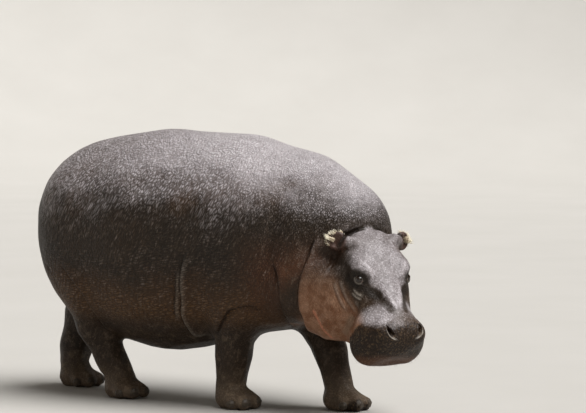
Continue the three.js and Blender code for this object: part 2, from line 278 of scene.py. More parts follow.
def refine_near(mesh, centres, radius):
    """Splits the faces near some places, so that small forms have room."""
    whole = bmesh.new()
    whole.from_mesh(mesh)
    points = points_of(mesh)
    near = np.min([lengths_of(points - centre) for centre in centres], axis=0) < radius
    chosen = [edge for edge in whole.edges if near[edge.verts[0].index] and near[edge.verts[1].index]]
    bmesh.ops.subdivide_edges(whole, edges=chosen, cuts=1, use_grid_fill=True)
    whole.to_mesh(mesh)
    whole.free()


def on_tail(points):
    """1 on the tail and 0 off it."""
    low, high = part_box("tail")
    behind = rise(high[0] + 8 * MM, low[0] + 12 * MM, points[:, 0])
    level = rise(low[2] - 12 * MM, low[2], points[:, 2])
    level *= rise(high[2] + 10 * MM, high[2] - 30 * MM, points[:, 2])
    beside = np.abs(points[:, 1] - ((low + high) / 2)[1])
    return behind * level * rise(high[1] + 14 * MM, high[1] + 4 * MM, beside)


def rough_skin():
    """The skin's plain form: the flesh nodes run together, rounded, and no bigger than they are."""
    swell = 0.55 * CUT
    body = remeshed(joined_nodes("body", BODY_NODES, swell), BODY_VOXEL)
    points = points_of(body.data)
    above_feet = 0.06 + 0.94 * rise(0.16, 0.36, points[:, 2])
    eased(body, rounds=200, shares=above_feet * (1 - 0.9 * on_tail(points)))
    face = remeshed(joined_nodes("face", [*HEAD_NODES, *EYE_NODES], swell), FACE_VOXEL)
    ahead, across, off = head.local(points_of(face.data)).T
    ears = rise(62 * MM, 78 * MM, np.abs(across)) * rise(90 * MM, 60 * MM, ahead)
    ears *= rise(-90 * MM, -60 * MM, off)
    eased(face, rounds=40, shares=1 - 0.85 * ears)
    skin = remeshed(merged("skin", [body.data, face.data]), SKIN_VOXEL)
    smoothed(skin, rounds=3)
    place_points(skin.data, points_of(skin.data) - swell * normals_of(skin.data))
    return skin


# ---- skin: folds


class Surface:
    """A mesh's points and normals, and a tree that finds the nearest place on it."""

    def __init__(self, mesh):
        self.points, self.normals = points_of(mesh), normals_of(mesh)
        faces = [tuple(face.vertices) for face in mesh.polygons]
        self.tree = BVHTree.FromPolygons(self.points.tolist(), faces)


class Stroke:
    """A smooth line drawn on a mesh through a few points near it, each given in metres."""

    STEP = 2.5 * MM
    BATCH = 4000

    def __init__(self, tree, knots):
        knots = np.array([tree.find_nearest(Vector(knot))[0] for knot in knots])
        ends = [2 * knots[0] - knots[1], *knots, 2 * knots[-1] - knots[-2]]
        drawn = []
        for a, b, c, d in zip(ends, ends[1:], ends[2:], ends[3:]):
            count = max(2, int(np.linalg.norm(c - b) / self.STEP))
            t = np.linspace(0, 1, count, endpoint=False)[:, None]
            squared = t**2 * (a - 2.5 * b + 2 * c - d / 2)
            cubed = t**3 * (1.5 * (b - c) + (d - a) / 2)
            drawn.append(b + t * (c - a) / 2 + squared + cubed)
        drawn = np.concatenate([*drawn, knots[-1:]])
        found = [tree.find_nearest(Vector(point)) for point in drawn]
        self.points = np.array([hit[0] for hit in found])
        normals = np.array([hit[1] for hit in found])
        # Where the line stands still on the mesh it has no left side, and this stays 0.
        across = np.cross(normals, np.gradient(self.points, axis=0))
        self.across = across / np.maximum(lengths_of(across), TINY)[:, None]
        self.walked = np.concatenate([[0], np.cumsum(lengths_of(np.diff(self.points, axis=0)))])

    def measure(self, points, reach):
        """The points within reach: which, how far to the line's left, how far along it, and nearest spots."""
        low, high = self.points.min(axis=0) - reach, self.points.max(axis=0) + reach
        chosen = np.nonzero(np.all((points > low) & (points < high), axis=1))[0]
        nearest = np.empty(len(chosen), int)
        for start in range(0, len(chosen), self.BATCH):
            batch = slice(start, start + self.BATCH)
            gaps = ((points[chosen[batch]][:, None] - self.points[None]) ** 2).sum(axis=2)
            nearest[batch] = gaps.argmin(axis=1)
        offsets = points[chosen] - self.points[nearest]
        gap = lengths_of(offsets)
        side = np.sign((offsets * self.across[nearest]).sum(axis=1))
        close = gap < reach
        return chosen[close], (gap * side)[close], self.walked[nearest][close], nearest[close]


class Sculpt(Surface):
    """Moves a mesh's points by strokes, all measured on the mesh as it was. Sizes are in mm."""

    def __init__(self, mesh):
        super().__init__(mesh)
        self.mesh = mesh
        self.moves = np.zeros_like(self.points)
        self.creased, self.rim_highlight = np.zeros((2, len(self.points)))

    def fold(self, knots, depth, width=3.0, roll=0.0, drop=0.0, spread=25.0, lean=0.0, taper=30.0,
             shine=0.0, flip=False):
        """A crease whose left side swells and leans over its right side, with painted shade in its groove and
        a highlight painted on its rim, as strong as its shine.
        """
        stroke = Stroke(self.tree, knots)
        side = -1 if flip else 1
        chosen, gap, walked, nearest = stroke.measure(self.points, BELL_REACH * spread * MM)
        gap = gap / MM * side
        walked, length = walked / MM, stroke.walked[-1] / MM
        ends = rise(-0.1, taper, walked) * rise(-0.1, taper, length - walked)
        groove = bell(gap / width)
        raised = rise(-width, width, gap)
        swelling = bell(gap / spread)
        lift = roll * raised * swelling - drop * (1 - raised) * swelling - depth * groove
        self.moves[chosen] += (lift * ends * MM)[:, None] * self.normals[chosen]
        over = lean * ends * raised * bell(gap / (3 * width)) * MM
        self.moves[chosen] -= over[:, None] * stroke.across[nearest] * side
        # How dark the groove's painted shade is: more for deep and narrow grooves.
        dark = min(depth / 6, 1) * min(5 / width, 1) ** 2
        raise_to(self.creased, chosen, ends * groove * dark)
        raise_to(self.rim_highlight, chosen, ends * raised * bell((gap - 2 * width) / (1.5 * width)) * shine)

    def wrinkles(self, knots, count, gap, depth, width, seed):
        """Fine creases side by side with the line through the knots, each a little off and broken."""
        draw = np.random.default_rng(seed)
        normal = np.array(self.tree.find_nearest(Vector(knots[len(knots) // 2]))[1])
        across = np.cross(normal, unit(knots[-1] - knots[0]))
        for index in range(count):
            shift = (index - (count - 1) / 2) * gap * MM * across
            start, end = draw.uniform(0, 0.35), draw.uniform(0.65, 1)
            spots = np.linspace(start, end, 4) * (len(knots) - 1)
            line = np.transpose([np.interp(spots, range(len(knots)), values) for values in knots.T])
            line = [point + shift + across * draw.normal(0, 0.12 * gap) * MM for point in line]
            self.fold(line, depth * draw.uniform(0.5, 1.1), width, spread=2.5 * width, taper=18)

    def dent(self, spot, radius, depth):
        """A soft hollow, or with a negative depth a soft swelling."""
        centre = np.array(self.tree.find_nearest(Vector(spot))[0])
        gap = lengths_of(self.points - centre) / (radius * MM)
        near = gap < BELL_REACH
        self.moves[near] -= (depth * MM * bell(gap[near]))[:, None] * self.normals[near]

    def apply(self):
        """Moves the points, and keeps the creases' painted shade and the rims' painted highlight for the
        skin's colour.
        """
        place_points(self.mesh, self.points + self.moves)
        for name, values in (("crease", self.creased), ("rim", self.rim_highlight)):
            kept = self.mesh.attributes.get(name)
            if kept is None:
                attribute(self.mesh, name, values)
                continue
            before = np.empty(len(values), dtype=np.float32)
            kept.data.foreach_get("value", before)
            kept.data.foreach_set("value", np.maximum(before, values).astype(np.float32))


def head_path(side, *spots):
    """Points in mm of the head's own axes, given for its right side and mirrored for its left."""
    spots = np.array(spots, float) * MM
    spots[:, 1] *= -SIDES[side]
    return head.world(spots)


def leg_path(leg, *spots):
    """Points in mm from the middle of a right leg's node, or mirrored about the middle of a left leg's."""
    spots = np.array(spots, float) * MM
    spots[:, 1] *= -SIDES[leg.split("_")[-1]]
    return spots + centre_of(leg)


# Lines on the head and neck, as head_path reads them.
JOWL = (
    (-15, -145, -75), (30, -170, -110), (85, -200, -160), (130, -190, -225), (145, -165, -260),
    (125, -80, -340), (100, -30, -360),
)
NECK_ROLL = ((-10, -250, -185), (30, -235, -205), (85, -215, -270), (90, -170, -335), (55, -75, -450))
EYE_HOLLOW = ((140, -95, -70), (175, -80, -62), (200, -60, -55), (222, -42, -50))
NOSE_VALLEY = ((215, -44, -50), (240, -36, -44), (262, -28, -38), (280, -22, -36))
# The nose's ridge, sculpted, with a highlight painted along it.
NOSE_RIDGE = ((190, -34, -24), (215, -26, -28), (240, -17, -29), (275, -8, -31))
# The brow's ridge, where a highlight is painted.
BROW_HIGHLIGHT = ((132, -64, -18), (150, -56, -14), (168, -47, -18))
BELOW_EAR = ((30, -130, -92), (50, -112, -86), (70, -100, -78))
SCAR = ((156, -156, -210), (182, -140, -224), (214, -111, -247), (222, -100, -258))
MOUTH_CORNER = ((228, -84, -145), (240, -86, -198))
NOSTRIL = (349, -47, -43)
# The crease between the crown and the nape.
NAPE = ((46, -100, -50), (32, -92, -24), (10, -60, -40), (2, -20, -28))
# The folds below an eye.
BAGS = (
    ((172, -92, -82), (184, -90, -82), (198, -84, -79), (213, -74, -70)),
    ((178, -92, -92), (190, -91, -91), (204, -85, -87), (217, -77, -80)),
)
# The long lines down the cheek.
CHEEK_LINES = (
    ((122, -112, -102), (180, -104, -116), (232, -85, -122)),
    ((196, -92, -94), (212, -90, -100), (235, -85, -104)),
    ((118, -118, -122), (180, -107, -138), (210, -93, -146)),
)
# The valleys behind the jaw on the right and on the left, both given as if on the right.
JAW_VALLEY = ((75, -115, -100), (100, -135, -125), (130, -155, -175), (150, -155, -245), (140, -120, -310))
LEFT_VALLEY = ((10, -90, -110), (0, -110, -160), (-10, -115, -240), (5, -85, -305), (50, -40, -330))
# The soft valley between the neck and the right shoulder, in mm from the middle of the neck's box.
COLLAR = ((-60, -105, 195), (-75, -185, 75), (-95, -200, -45), (-120, -190, -140))
# The folds round the tops of the legs: each one's leg, its line as leg_path reads it, and its form.
LEG_FOLDS = (
    ("foreleg",
     ((-50, -175, 330), (-80, -155, 245), (-95, -130, 185), (-115, -105, 140), (-120, -40, 75),
      (-60, -30, 70)),
     dict(depth=6, width=4, roll=8, drop=4, spread=24, lean=2, taper=50, shine=0.4)),
    ("foreleg",
     ((-85, -170, 290), (-105, -155, 215), (-130, -125, 155), (-145, -95, 115)),
     dict(depth=4, width=4, roll=4, drop=1, spread=13, taper=40, shine=0.4)),
    ("foreleg",
     ((-5, -80, 85), (40, -115, 130), (75, -125, 165), (140, -110, 180), (160, -80, 160)),
     dict(depth=5, width=5, roll=3, drop=5, spread=24, lean=3)),
    ("hindleg",
     ((-45, -155, 275), (20, -150, 200), (45, -105, 130), (45, -50, 75), (55, -25, 60)),
     dict(depth=5, width=5, roll=5, drop=4, spread=26, lean=4, taper=40)),
    ("hindleg",
     ((-135, -125, 270), (-90, -130, 215), (-80, -95, 145)),
     dict(depth=3, width=5, roll=1, drop=2, spread=20)),
)


def fill_neck(skin):
    """Fills the valley behind the jaw on each side by smoothing the skin there."""
    sculpt = Sculpt(skin.data)
    shares = np.zeros(len(sculpt.points))
    reach = 60 * MM
    for side, knots in (("right", JAW_VALLEY), ("left", LEFT_VALLEY)):
        stroke = Stroke(sculpt.tree, head_path(side, *knots))
        chosen, gap, walked, _ = stroke.measure(sculpt.points, reach)
        shares[chosen] = rise(reach, 0.5 * reach, np.abs(gap)) * rise(0, 40 * MM, walked)
    smoothed(skin, rounds=300, shares=shares, digits=1)


def sculpt_tail_root(sculpt):
    """A crease down each side of the tail, and a groove from under its end onto the left hind leg."""
    low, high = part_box("tail")
    for side in SIDES.values():
        heights = [low[2] + share * (high[2] - low[2]) for share in (0.95, 0.7, 0.4, 0.1)]
        edge = [(low[0], side * (high[1] + 7 * MM), height) for height in heights]
        sculpt.fold(edge, depth=5, width=5, spread=12, taper=40)
    groove = [(low[0], 0, low[2] - drop * MM) for drop in (-20, 20, 60, 100, 150)]
    sculpt.fold(groove, depth=14, width=9, spread=14, taper=60)


def sculpt_neck(sculpt):
    """The jowl, the neck's roll and the shoulder's valley on the right, and a soft fold on the left."""
    sculpt.fold(head_path("right", *JOWL), depth=8, width=4.5, roll=10, drop=8, spread=28, lean=4, taper=40)
    roll = head_path("right", *NECK_ROLL)
    sculpt.fold(roll, depth=7, width=4.5, roll=7, drop=6, spread=20, lean=3, taper=40)
    valley = head_path("left", *LEFT_VALLEY)
    sculpt.fold(valley, depth=4, width=4, roll=4, drop=3, spread=26, taper=60, flip=True)
    sculpt.fold(centre_of("neck") + np.array(COLLAR) * MM, depth=9, width=24, spread=40, taper=90)


def sculpt_folds(skin):
    sculpt = Sculpt(skin.data)
    sculpt_neck(sculpt)
    for side in SIDES:
        for leg, knots, form in LEG_FOLDS:
            sculpt.fold(leg_path(f"{leg}_{side}", *knots), flip=side == "left", **form)
    sculpt_tail_root(sculpt)
    sculpt.apply()


# ---- skin: face


class Eye(Axes):
    """An eye's own axes: its long corner-to-corner axis, its upward axis and the way it looks."""

    def __init__(self, side):
        low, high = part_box(f"eye_{side}")
        self.radius = (high - low)[0] / 2
        out = unit(head.turn((0.38, SIDES[side] * 0.66, 0.65)))
        long = square(head.turn((1, SIDES[side] * -0.5, 0)), out)
        up = np.cross(out, long)
        up *= np.sign(up @ head.turn((0, 0, 1)))
        super().__init__(centre_of(f"eye_{side}"), [long, up, out])

    def lens(self, directions):
        """0 at the middle of the eye's opening and 1 at its rim, for directions out of the eye."""
        long, up = directions[:, 0], directions[:, 1]
        half = np.where(up > 0, OPENING_UP, OPENING_DOWN)
        return (long / OPENING_LONG) ** 2 + np.abs(up) / half


def sculpt_lids(sculpt, side):
    """Opens the skin over an eye, with thick lid rims round the opening and a crease beyond each lid. A
    highlight is painted along the lids' margin, most on the upper lid.
    """
    eye = Eye(side)
    place = eye.local(sculpt.points)
    gap = lengths_of(place)
    chosen = np.nonzero((gap < 3 * eye.radius) & (place[:, 2] > 0))[0]
    place, gap = place[chosen], gap[chosen]
    directions = place / gap[:, None]
    lens = eye.lens(directions)
    inside, rim, lid = 0.8 * eye.radius, eye.radius + 0.7 * MM, eye.radius + 3.8 * MM
    made = inside + (rim - inside) * rise(0.8, 1.0, lens) + (lid - rim) * rise(1.0, 1.4, lens)
    crease = bell((lens - 2.15) / 0.22) * rise(0.95, 0.6, np.abs(directions[:, 0]))
    made = made + (gap - made) * rise(1.5, 2.8, lens) - 1.6 * MM * crease
    facing = rise(0.05, 0.3, directions[:, 2])
    made = gap + (made - gap) * facing * rise(2.6, 1.8, gap / eye.radius)
    sculpt.moves[chosen] += ((made / gap - 1)[:, None] * place) @ eye.axes
    upper = rise(-0.25, 0.45, (place[:, 1] + 0.4 * place[:, 0]) / gap)
    lid_highlight = bell((lens - 1.22) / 0.22) * rise(0.3, 0.6, directions[:, 2]) * (0.5 + 0.5 * upper)
    raise_to(sculpt.rim_highlight, chosen, lid_highlight * (gap < 1.8 * eye.radius))


def sculpt_nostril(sculpt, side):
    """A slanted slit that runs back into the muzzle, with a raised rim on its outer side and a highlight
    painted on that rim.
    """
    spot, normal, _, _ = sculpt.tree.find_nearest(Vector(head_path(side, NOSTRIL)[0]))
    normal = np.array(normal)
    long = square(head.turn((31, -SIDES[side] * 13, -11)), normal)
    outer = np.cross(normal, long)
    outer *= np.sign(outer @ head.turn((0, SIDES[side], 0)))
    place = (sculpt.points - np.array(spot)) @ np.array([long, outer, normal]).T / MM
    chosen = np.nonzero(lengths_of(place) < 42)[0]
    along, outward, _ = place[chosen].T
    bowed = outward + 0.012 * along**2 - 2
    ring = np.sqrt((along / 16) ** 2 + (bowed / 5.6) ** 2)
    pit = 15 * rise(1.25, 0.35, ring)
    outside = rise(-0.6, 0.9, bowed / 6.5)
    rim = 3.6 * bell((ring - 1.6) / 0.42) * (0.25 + 0.75 * outside)
    sculpt.moves[chosen] += ((rim - pit) * MM)[:, None] * normal
    sculpt.moves[chosen] -= (0.5 * pit * MM)[:, None] * long
    raise_to(sculpt.rim_highlight, chosen, 0.9 * bell((ring - 1.5) / 0.3) * outside * rise(-14, 2, along))


def lip_line(tree, side):
    """Where the lips meet, from the chin round to the corner of the mouth."""
    knots = []
    for degrees in range(0, 91, 15):
        turn = math.radians(degrees)
        lift = 16 * MM * float(rise(50, 90, degrees))
        start = head.world((270 * MM, 0, LIPS_OFF + lift))
        ray = head.turn((math.cos(turn), SIDES[side] * math.sin(turn), 0))
        knots.append(tree.ray_cast(Vector(start), Vector(ray))[0])
    return knots


def sculpt_side_of_face(sculpt, side):
    """One side's lids, nostril, lips, cheek, nose and eye bags, and the crease at the nape."""
    flip = side == "left"
    sculpt_lids(sculpt, side)
    sculpt_nostril(sculpt, side)
    lips = lip_line(sculpt.tree, side)
    sculpt.fold(lips, depth=5, width=3, roll=2, drop=2, spread=14, taper=6, flip=not flip)
    cheek = head_path(side, (205, -88, -80), (235, -88, -108), (246, -87, -150), (240, -87, -194))
    sculpt.fold(cheek, depth=3.5, width=8, roll=3, drop=1, spread=16, lean=2, taper=30, flip=flip)
    sculpt.dent(head_path(side, (212, -46, -50))[0], radius=17, depth=6)
    sculpt.dent(head_path(side, (150, -62, -20))[0], radius=20, depth=-3)
    sculpt.fold(head_path(side, *NOSE_VALLEY), depth=3.5, width=9, spread=9, taper=20)
    sculpt.fold(head_path(side, *NOSE_RIDGE), depth=-2, width=8, spread=8, taper=25)
    # The rims of the eye bags and the cheek lines get a painted highlight, as strong as their shine.
    bag = dict(depth=2.2, width=2.6, roll=2.2, drop=0.5, spread=5, taper=10, shine=0.9)
    line = dict(depth=1.8, width=3, roll=1.4, drop=0.3, spread=7, taper=20, shine=0.4)
    for paths, form in ((BAGS, bag), (CHEEK_LINES, line)):
        for knots in paths:
            sculpt.fold(head_path(side, *knots), flip=flip, **form)
    sculpt.fold(head_path(side, *NAPE), depth=7, width=4.5, spread=12, taper=25)


def sculpt_face(skin):
    mesh = skin.data
    spots = [centre_of(eye) for eye in EYE_NODES] + [head_path(side, NOSTRIL)[0] for side in SIDES]
    for radius in (46 * MM, 30 * MM):
        refine_near(mesh, spots, radius)
    sculpt = Sculpt(mesh)
    for side in SIDES:
        sculpt_side_of_face(sculpt, side)
    sculpt.fold(head_path("right", *SCAR), depth=-2, width=3.2, spread=4, taper=10)
    lines = head_path("right", (238, -92, -118), (240, -92, -150), (238, -90, -190))
    sculpt.wrinkles(lines, count=5, gap=7, depth=1.6, width=2.4, seed=4)
    sculpt.apply()


# ---- skin: markings


class Places(Surface):
    """Where each of the skin's points lies: its height in metres, and in mm on the head's own axes."""

    def __init__(self, mesh):
        super().__init__(mesh)
        self.height = self.points[:, 2]
        self.ahead, self.across, self.off = head.local(self.points).T / MM
        self.lumps = value_noise(self.points, 90 * MM, seed=1)
        self.small_lumps = value_noise(self.points, 22 * MM, seed=2)

    def near(self, side, knots, reach):
        """1 on a line drawn on one side of the head, and 0 beyond its reach in mm."""
        stroke = Stroke(self.tree, head_path(side, *knots))
        chosen, gap, _, _ = stroke.measure(self.points, reach * MM)
        share = np.zeros(len(self.points))
        share[chosen] = rise(reach, 0.3 * reach, np.abs(gap) / MM)
        return share


def face_dust_and_sheen(at, face):
    """The dust and painted sheen on the face: on its brow, the top of its snout and, thinly, its temples."""
    brow = rise(-90, -20, at.off) * rise(-0.3, 0.5, at.normals @ head.turn((0, 0, 1)))
    brow *= 0.70 + 0.09 * rise(20, 110, at.ahead)
    snout = rise(0.268, 0.3, at.height + 0.008 * at.small_lumps)
    snout *= rise(-0.75, 0.1, at.normals[:, 2])
    snout *= rise(225, 262, at.ahead) * rise(345, 290, at.ahead - np.abs(at.across) / 3)
    temple = 0.30 * rise(0.34, 0.46, at.height) * rise(-0.45, 0.35, at.normals[:, 2])
    nose = 1 - 0.55 * rise(-55, 10, at.across) * rise(250, 295, at.ahead)
    return face * nose * np.maximum.reduce([brow, 0.95 * snout, temple])


def dust_and_sheen_of(at, face):
    """How thick the pale dust and painted sheen lie: most where the skin faces up, with painted highlights
    along the nose's ridge and the brow.
    """
    turned = at.normals[:, 2] + 0.9 * (at.height - 0.62) + 0.15 * at.lumps
    body = 1.05 * rise(-0.12, 0.9, turned) * rise(0.25, 0.45, at.height)
    body *= 0.74 + 0.26 * rise(-0.55, 0.1, at.points[:, 0])
    bloom = body * (1 - face) + face_dust_and_sheen(at, face)
    # Painted highlights along the nose's ridge and the brow.
    for side in SIDES:
        for ridge, lift in ((NOSE_RIDGE, 0.16), (BROW_HIGHLIGHT, 0.2)):
            bloom += lift * at.near(side, ridge, reach=10)
    return bloom


def shadow_of(at):
    """The dark hollows round the eyes, beside the nose, below the ears and at the nape."""
    hollows = ((EYE_HOLLOW, 23, 1), (NOSE_VALLEY, 17, 0.6), (BELOW_EAR, 26, 0.6), (NAPE, 11, 0.9))
    shadows = []
    for side in SIDES:
        gap = lengths_of(at.points - centre_of(f"eye_{side}")) / MM
        shadows.append(0.9 * rise(38, 20, gap))
        shadows += [depth * at.near(side, knots, reach) for knots, reach, depth in hollows]
    return np.maximum.reduce(shadows)


def cheek_of(at, face):
    """The tan cheek, ahead of the jowl's fold and fainter towards the head's left."""
    jowl = np.array(JOWL[::-1])
    cheek = face * rise(-85, -125, at.off) * rise(305, 280, at.ahead) * rise(20, 60, at.ahead)
    cheek *= rise(-22, 8, at.ahead - np.interp(at.off, jowl[:, 2], jowl[:, 0]))
    return cheek * (rise(0.47, 0.31, at.height) * (1 - 0.5 * rise(-60, 40, at.across)))


def throat_of(at):
    """The reddish throat, low on the body's front and behind the face."""
    throat = rise(0.15, 0.3, at.points[:, 0]) * rise(0.56, 0.4, at.height)
    throat *= rise(0.22, 0.32, at.height)
    return throat * rise(95, 30, at.ahead - 70 * rise(20, 100, at.across))


def mark_skin(mesh):
    """Keeps numbers from about 0 to 1 on the skin, for its material to read."""
    at = Places(mesh)
    face = rise(-40, 30, at.ahead) * rise(-420, -330, at.off) * rise(260, 200, np.abs(at.across))
    throat, shadow = throat_of(at), shadow_of(at)
    legs = rise(0.3, 0.2, at.height) * (1 - face)
    uneven = at.height + 0.012 * at.lumps + 0.006 * at.small_lumps
    chin = face * rise(0.205, 0.18, at.height + 0.006 * at.small_lumps)
    corner = at.near("right", MOUTH_CORNER, reach=17)
    to_ear = np.min([lengths_of(at.points - centre_of(f"ear_{side}")) for side in SIDES], axis=0)
    marks = {
        "bloom": dust_and_sheen_of(at, face) * (1 - 0.9 * shadow) * (1 - 0.7 * throat),
        "muzzle": rise(265, 285, at.ahead + 0.1 * (at.off + 110)) * rise(0.306, 0.264, uneven),
        "cheek": cheek_of(at, face),
        "throat": throat,
        "shadow": shadow,
        "ear": rise(44 * MM, 32 * MM, to_ear) * rise(86, 100, np.abs(at.across)),
        "scar": 0.8 * at.near("right", SCAR, reach=7),
        "lip": chin * rise(200, 240, at.ahead),
        "face": np.maximum(face, legs),
        "legs": legs,
        "dusty": np.maximum(rise(0.14, 0.02, at.height), corner),
    }
    for name, values in marks.items():
        attribute(mesh, name, values)


# ---- materials


class Shades:
    """A material's nodes, each made and wired in one call. Sizes are in mm."""

    # One cell of stretched coordinates, as a size in mm.
    CELL = 1000

    def __init__(self, name):
        self.material = bpy.data.materials.new(name)
        self.material.use_nodes = True
        self.tree = self.material.node_tree
        self.shader = self.tree.nodes["Principled BSDF"]
        self.place = self.tree.nodes.new("ShaderNodeTexCoord").outputs["Object"]

    def feed(self, socket, value):
        if isinstance(value, bpy.types.NodeSocket):
            self.tree.links.new(value, socket)
        else:
            socket.default_value = (*value, 1) if socket.type == "RGBA" else value

    def add(self, kind, values, output=0, **settings):
        made = self.tree.nodes.new(f"ShaderNode{kind}")
        for key, value in settings.items():
            setattr(made, key, value)
        for key, value in values.items():
            self.feed(made.inputs[key], value)
        return made.outputs[output]

    def number(self, name):
        """The number that the mesh keeps for each point under this name."""
        return self.add("Attribute", {}, "Fac", attribute_name=name)

    def chained(self, operation, value, *others):
        for other in others:
            value = self.add("Math", {0: value, 1: other}, operation=operation)
        return value

    def sum(self, *values):
        return self.chained("ADD", *values)

    def product(self, *values):
        return self.chained("MULTIPLY", *values)

    def rise(self, value, low, high, start=0.0, end=1.0):
        """A smooth change from start to end as the value goes from low to high."""
        limits = {"Value": value, "From Min": low, "From Max": high, "To Min": start, "To Max": end}
        return self.add("MapRange", limits, interpolation_type="SMOOTHSTEP")

    def mix(self, share, first, second, way="MIX"):
        return self.add("Mix", {0: share, 6: first, 7: second}, 2, data_type="RGBA", blend_type=way)

    def layered(self, colour, *layers):
        """A colour with layers over it, each a share and a colour."""
        for share, tint in layers:
            colour = self.mix(share, colour, tint)
        return colour

    def stretched(self, lengths, turn=(0, 0, 0), waver=None):
        """Coordinates in which a cell of the given lengths in mm, turned by some degrees, is one unit."""
        values = {"Vector": self.place, "Rotation": [math.radians(angle) for angle in turn]}
        turned = self.add("VectorRotate", values, rotation_type="EULER_XYZ")
        scale = [1 / (length * MM) for length in lengths]
        scaled = self.add("VectorMath", {0: turned, 1: scale}, operation="MULTIPLY")
        if waver is None:
            return scaled
        return self.add("VectorMath", {0: scaled, 1: waver}, operation="ADD")

    def noise(self, size, detail=3.0, rough=0.55, place=None):
        values = {"Scale": 1 / (size * MM), "Detail": detail, "Roughness": rough}
        return self.add("TexNoise", {"Vector": place or self.place, **values})

    def wander(self, size, reach):
        """A vector that wanders by about the reach, in cells, over lumps of a size in mm."""
        noise = self.add("TexNoise", {"Vector": self.place, "Scale": 1 / (size * MM), "Detail": 2.0}, "Color")
        centred = self.add("VectorMath", {0: noise, 1: (0.5, 0.5, 0.5)}, operation="SUBTRACT")
        return self.add("VectorMath", {0: centred, "Scale": 2 * reach}, operation="SCALE")

    def spots(self, apart, outer, inner):
        """High in round spots about so far apart, from their outer to their inner radius in those units."""
        gap = self.add("TexVoronoi", {"Vector": self.place, "Scale": 1 / (apart * MM)}, "Distance")
        return self.rise(gap, outer, inner)

    def bump(self, height, depth, below=None):
        values = {"Height": height, "Strength": 1.0, "Distance": depth * MM}
        if below is not None:
            values["Normal"] = below
        return self.add("Bump", values)

    def finish(self, **inputs):
        for name, value in inputs.items():
            self.feed(self.shader.inputs[name.replace("_", " ")], value)
        return self.material


